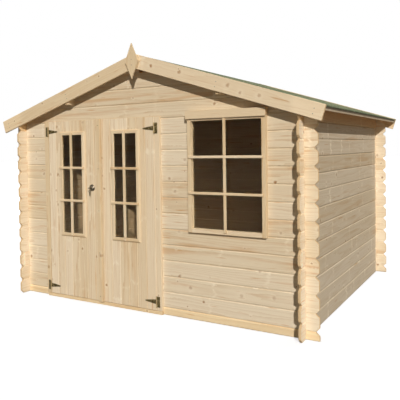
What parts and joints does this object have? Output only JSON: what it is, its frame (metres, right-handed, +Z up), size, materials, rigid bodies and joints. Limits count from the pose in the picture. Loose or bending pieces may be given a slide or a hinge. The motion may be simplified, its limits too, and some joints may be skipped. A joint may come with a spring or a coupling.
{
  "type": "garden shed",
  "caption": "Garden shed of interlocking wall boards with crossed bevelled board ends, a low pitched felt roof, glazed hinged doors on tee hinges and a barred window under a drip board.",
  "frame": {"origin": "on the ground, in the middle of the rectangle of the four walls", "axes": "+Z up, -Y out of the front wall with the doors, +X to the right seen from the front"},
  "size_m": [3.3888, 2.732, 2.3685],
  "materials": {
    "wall_wood": "planed, unpainted spruce",
    "door_wood": "planed, unpainted spruce matchboards",
    "trim_wood": "planed, unpainted spruce",
    "rough_wood": "sawn, unpainted spruce",
    "roof_felt": "green mineral surfaced bitumen felt",
    "window_glass": "clear float glass",
    "hinge_metal": "dark zinc plate",
    "lock_metal": "dark plated metal"
  },
  "bodies": {
    "shed": {"front_sill": "wall_wood", "front_wall_left": "wall_wood", "front_wall_middle": "wall_wood", "front_wall_below_window": "wall_wood", "front_wall_right": "wall_wood", "front_gable": "wall_wood", "rear_wall": "wall_wood", "rear_gable": "wall_wood", "left_wall": "wall_wood", "right_wall": "wall_wood", "floor": "rough_wood", "floor_bearers": "rough_wood", "ridge_purlin": "rough_wood", "left_purlin": "rough_wood", "right_purlin": "rough_wood", "roof_boards_left": "rough_wood", "roof_boards_right": "rough_wood", "roof_felt_left": "roof_felt", "roof_felt_right": "roof_felt", "eave_strip_left": "trim_wood", "eave_strip_right": "trim_wood", "front_barge_left": "trim_wood", "front_barge_right": "trim_wood", "rear_barge_left": "trim_wood", "rear_barge_right": "trim_wood", "front_finial": "trim_wood", "door_post_left": "trim_wood", "door_post_right": "trim_wood", "left_hinge_flanges": "hinge_metal", "right_hinge_flanges": "hinge_metal", "window_frame": "trim_wood", "window_glass": "window_glass", "drip_board": "trim_wood"},
    "left_door": {"left_door_leaf": "door_wood", "left_door_ledges": "door_wood", "left_door_window_frame": "trim_wood", "left_door_glass": "window_glass", "left_hinge_straps": "hinge_metal", "meeting_strip": "trim_wood", "door_lock": "lock_metal"},
    "right_door": {"right_door_leaf": "door_wood", "right_door_ledges": "door_wood", "right_door_window_frame": "trim_wood", "right_door_glass": "window_glass", "right_hinge_straps": "hinge_metal"}
  },
  "joints": [
    {"name": "left_door_hinge", "type": "hinge", "parent": "shed", "child": "left_door", "pos_m": [-1.12937, -1.2733, 0.885], "axis": [0, 0, -1], "range_deg": [0, 150]},
    {"name": "right_door_hinge", "type": "hinge", "parent": "shed", "child": "right_door", "pos_m": [0.14746, -1.2733, 0.885], "axis": [0, 0, 1], "range_deg": [0, 170]}
  ]
}
